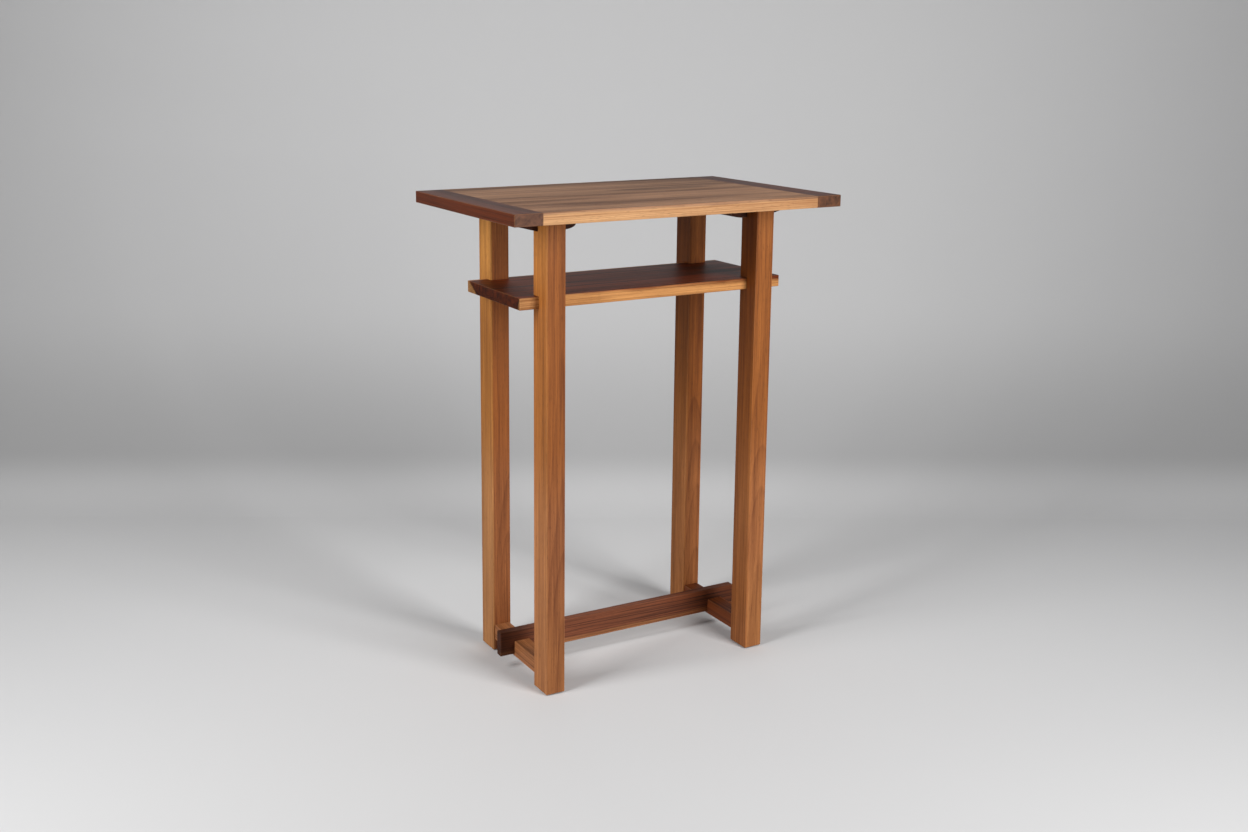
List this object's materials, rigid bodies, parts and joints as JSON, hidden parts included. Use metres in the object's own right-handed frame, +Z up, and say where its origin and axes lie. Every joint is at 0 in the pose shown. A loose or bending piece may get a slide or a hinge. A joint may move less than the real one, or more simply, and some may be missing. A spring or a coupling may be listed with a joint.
{
  "type": "photo album stand",
  "caption": "Slender standing-height wooden stand: a flat top with darker end boards, a shelf close beneath it, four straight legs and a low H stretcher.",
  "frame": {"origin": "on the floor under the centre of the top", "axes": "+X along the top's long side to the right, +Y from front to back, +Z up"},
  "size_m": [0.685, 0.427, 0.914],
  "materials": {
    "top_wood": "oiled satin hardwood, grey-brown face with honey-coloured edge",
    "walnut": "oiled satin dark walnut",
    "leg_wood": "oiled satin reddish-brown hardwood with straight grain",
    "screw_steel": "zinc-plated steel",
    "felt": "dark pressed felt"
  },
  "bodies": {
    "root": {"top_board_front": "top_wood", "top_board_back": "top_wood", "breadboard_end_left": "walnut", "breadboard_end_right": "walnut", "leg_front_left": "leg_wood", "leg_front_right": "leg_wood", "leg_back_left": "leg_wood", "leg_back_right": "leg_wood", "shelf": "walnut", "bearer_left": "walnut", "bearer_right": "walnut", "cross_stretcher_left": "leg_wood", "cross_stretcher_right": "leg_wood", "long_stretcher": "walnut", "screw_left_1": "screw_steel", "screw_left_2": "screw_steel", "screw_left_3": "screw_steel", "screw_left_4": "screw_steel", "screw_right_1": "screw_steel", "screw_right_2": "screw_steel", "screw_right_3": "screw_steel", "screw_right_4": "screw_steel", "foot_pad_front_left": "felt", "foot_pad_front_right": "felt", "foot_pad_back_left": "felt", "foot_pad_back_right": "felt"}
  },
  "joints": []
}
